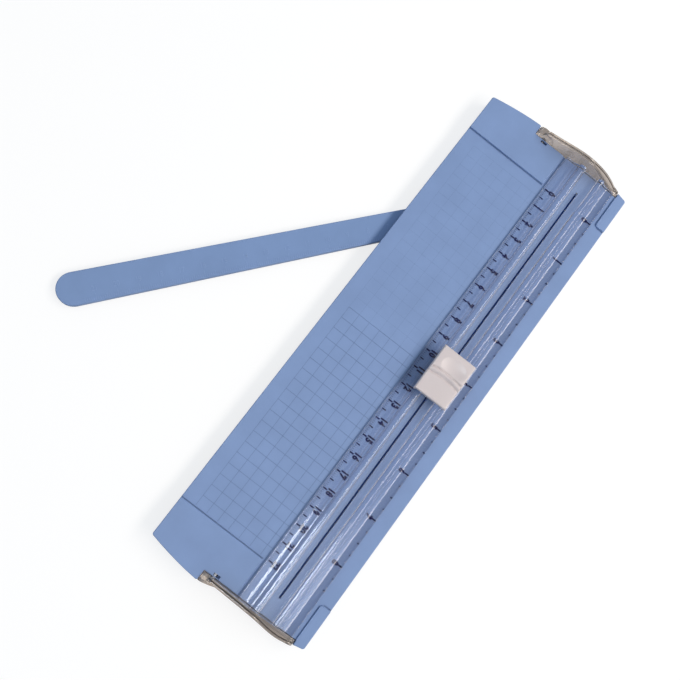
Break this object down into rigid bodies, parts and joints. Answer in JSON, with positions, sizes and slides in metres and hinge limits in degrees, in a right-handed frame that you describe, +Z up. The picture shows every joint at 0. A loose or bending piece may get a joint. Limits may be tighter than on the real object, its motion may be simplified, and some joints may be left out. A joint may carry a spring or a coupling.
{
  "type": "paper trimmer",
  "caption": "Small desk paper trimmer: flat moulded base with raised ends, clear flip-up rail with a press-and-slide cutter, and a swing-out ruler under the table.",
  "frame": {"origin": "on the desk, in the middle of the box that holds the object with its ruler swung out as pictured", "axes": "+Z up from the desk, +Y along the rail towards the zero of its scales, +X across the base away from the ruler"},
  "size_m": [0.1878, 0.2704, 0.0217],
  "materials": {
    "base_plastic": "fine matte moulded",
    "ruler_plastic": "fine matte moulded",
    "strip_plastic": "smooth",
    "clear_plastic": "polished clear",
    "cap_plastic": "satin white",
    "runner_plastic": "smooth",
    "foot_rubber": "matte",
    "steel": "bright zinc",
    "blade_steel": "ground"
  },
  "bodies": {
    "base": {"base_shell": "base_plastic", "cutting_strip": "strip_plastic", "foot_front_left": "foot_rubber", "foot_front_right": "foot_rubber", "foot_rear_left": "foot_rubber", "foot_rear_right": "foot_rubber", "ruler_pivot_screw": "steel", "ruler_washer": "steel"},
    "ruler": {"ruler_arm": "ruler_plastic"},
    "rail": {"clear_rail": "clear_plastic", "front_end_arm": "clear_plastic", "rear_end_arm": "clear_plastic", "front_hinge_pin": "steel", "rear_hinge_pin": "steel"},
    "carriage": {"carriage": "runner_plastic", "cap_spring_front": "steel", "cap_spring_rear": "steel"},
    "cutter": {"slider_cap": "cap_plastic", "blade_holder": "runner_plastic", "blade": "blade_steel", "blade_pin": "steel"}
  },
  "joints": [
    {"name": "rail_flip", "type": "hinge", "parent": "base", "child": "rail", "pos_m": [0.0431, 0, 0.009], "axis": [0, -1, 0], "range_deg": [0, 45]},
    {"name": "cutter_slide", "type": "slide", "parent": "rail", "child": "carriage", "axis": [0, 1, 0], "range_m": [-0.1175, 0.1111]},
    {"name": "cap_press", "type": "slide", "parent": "carriage", "child": "cutter", "axis": [0, 0, -1], "range_m": [0, 0.002], "stiffness_N_per_m": 400, "springref_m": -0.002, "deforming": ["cap_spring_front", "cap_spring_rear"]},
    {"name": "ruler_swing", "type": "hinge", "parent": "base", "child": "ruler", "pos_m": [0.0201, 0.0617, 0.0028], "axis": [0, 0, 1], "range_deg": [-50, 39.3]}
  ]
}
